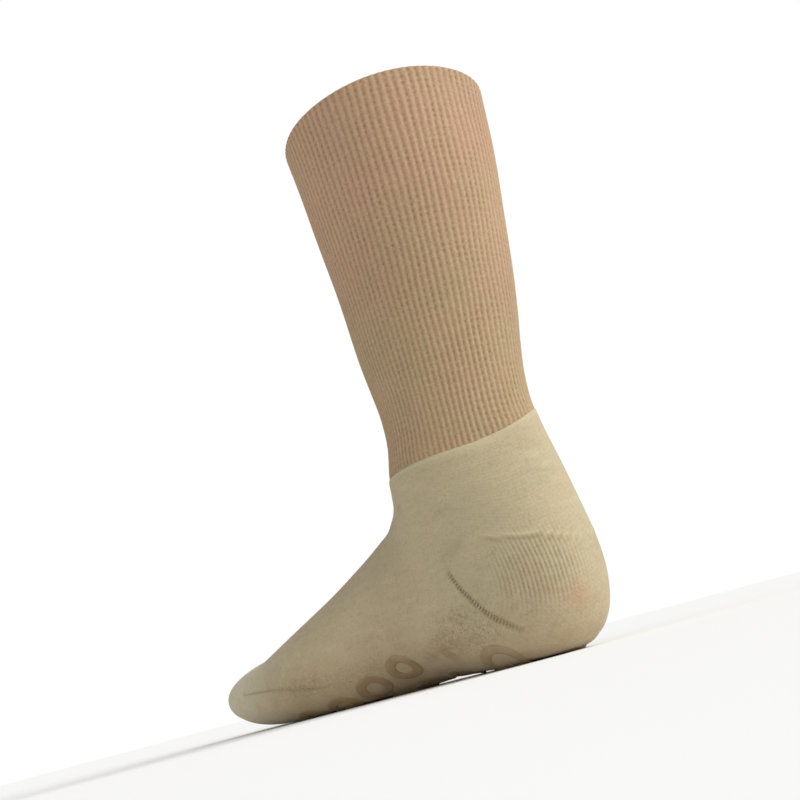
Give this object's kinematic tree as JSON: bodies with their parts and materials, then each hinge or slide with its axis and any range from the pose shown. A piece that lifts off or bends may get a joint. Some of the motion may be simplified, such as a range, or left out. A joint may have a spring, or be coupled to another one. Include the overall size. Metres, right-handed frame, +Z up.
{
  "type": "slipper sock",
  "caption": "Tall knitted slipper sock with a ribbed leg, a plain terry foot and silicone grip rings printed on the sole.",
  "frame": {"origin": "centre of the bounding box at floor level, under the sole", "axes": "+Z up from the floor to the collar, -Y towards the toe, +X towards the inner side of the foot"},
  "size_m": [0.0998, 0.2508, 0.2803],
  "materials": {
    "terry_knit": "matt terry-lined cotton knit, ribbed on the leg",
    "grip_silicone": "soft satin silicone print"
  },
  "bodies": {
    "root": {"knit_body": "terry_knit", "grip_heel_back": "grip_silicone", "grip_heel_inner": "grip_silicone", "grip_heel_front": "grip_silicone", "grip_middle_1": "grip_silicone", "grip_middle_2": "grip_silicone", "grip_middle_3": "grip_silicone", "grip_middle_4": "grip_silicone", "grip_middle_5": "grip_silicone", "grip_outer_1": "grip_silicone", "grip_outer_2": "grip_silicone", "grip_outer_3": "grip_silicone", "grip_outer_4": "grip_silicone", "grip_outer_5": "grip_silicone", "grip_inner_2": "grip_silicone", "grip_inner_3": "grip_silicone", "grip_inner_4": "grip_silicone", "grip_inner_5": "grip_silicone"}
  },
  "joints": []
}
